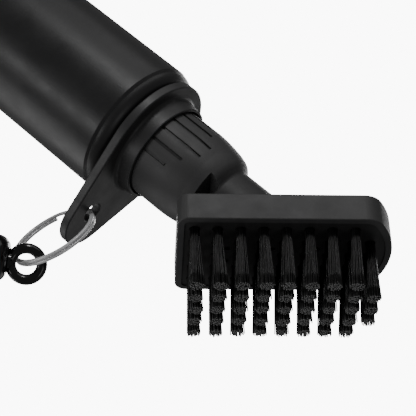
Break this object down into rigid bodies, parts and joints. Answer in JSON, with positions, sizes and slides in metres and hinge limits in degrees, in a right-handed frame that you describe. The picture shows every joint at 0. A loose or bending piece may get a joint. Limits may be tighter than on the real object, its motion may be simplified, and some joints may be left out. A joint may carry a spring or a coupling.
{
  "type": "club groove brush",
  "caption": "Squeeze bottle with a screw-on angled brush head, a hang tab round the neck, a split ring and a swivel snap hook, for cleaning golf club grooves.",
  "frame": {"origin": "centre of the bottle's flat base", "axes": "+Z along the bottle's axis towards the neck and brush head; the brush block lies in the XZ plane, tilted 45 degrees, with its bristles towards -X and +Z"},
  "size_m": [0.1111, 0.0456, 0.2032],
  "materials": {
    "bottle_plastic": "satin moulded polyethylene",
    "tab_plastic": "satin moulded plastic",
    "head_plastic": "fine-grained moulded plastic",
    "plate_plastic": "moulded plastic",
    "seal_foam": "soft sealing washer",
    "bristle_nylon": "nylon filament",
    "staple_wire": "flat wire",
    "ring_steel": "bright nickel-plated steel",
    "hook_enamel": "gloss black",
    "pin_steel": "plain steel"
  },
  "bodies": {
    "bottle": {"bottle_body": "bottle_plastic"},
    "strap": {"hang_tab": "tab_plastic"},
    "liner": {"cap_liner": "seal_foam"},
    "head": {"brush_head_shell": "head_plastic", "bristle_plate": "plate_plastic", "tuft_staples": "staple_wire", "tuft_column_1": "bristle_nylon", "tuft_column_2": "bristle_nylon", "tuft_column_3": "bristle_nylon", "tuft_column_4": "bristle_nylon", "tuft_column_5": "bristle_nylon", "tuft_column_6": "bristle_nylon", "tuft_column_7": "bristle_nylon", "tuft_column_8": "bristle_nylon", "tuft_column_9": "bristle_nylon"},
    "ring": {"split_ring": "ring_steel"},
    "eye": {"swivel_eye": "hook_enamel"},
    "hook": {"hook_body": "hook_enamel", "gate_pin": "pin_steel", "gate_spring": "pin_steel"},
    "gate": {"hook_gate": "hook_enamel"}
  },
  "joints": [
    {"name": "tab_swivel", "type": "hinge", "parent": "bottle", "child": "strap", "pos_m": [0, 0, 0.1134], "axis": [0, 0, 1], "continuous": true},
    {"name": "cap_turn", "type": "hinge", "parent": "liner", "child": "head", "pos_m": [0, 0, 0.12], "axis": [0, 0, 1], "range_deg": [0, 540]},
    {"name": "cap_lift", "type": "slide", "parent": "bottle", "child": "liner", "axis": [0, 0, 1], "range_m": [0, 0.00635]},
    {"name": "ring_swing", "type": "hinge", "parent": "strap", "child": "ring", "pos_m": [-0.0269, -0.0101, 0.1134], "axis": [0, 0, 1], "range_deg": [-50, 50]},
    {"name": "eye_swing", "type": "hinge", "parent": "ring", "child": "eye", "pos_m": [-0.05394, -0.00963, 0.11474], "axis": [-0.1845, -0.6346, -0.7505], "range_deg": [-65, 10]},
    {"name": "hook_swivel", "type": "hinge", "parent": "eye", "child": "hook", "pos_m": [-0.05412, -0.0098, 0.11488], "axis": [-0.5699, 0.0641, -0.8192], "continuous": true},
    {"name": "gate_swing", "type": "hinge", "parent": "hook", "child": "gate", "pos_m": [-0.05923, -0.00519, 0.09865], "axis": [0.4415, -0.817, -0.371], "range_deg": [-26, 0], "stiffness_Nm_per_rad": 0.02, "springref_deg": 17.19}
  ],
  "couplings": [
    {"joint": "cap_lift", "follows": "cap_turn", "m_per_rad": 0.00067322}
  ]
}
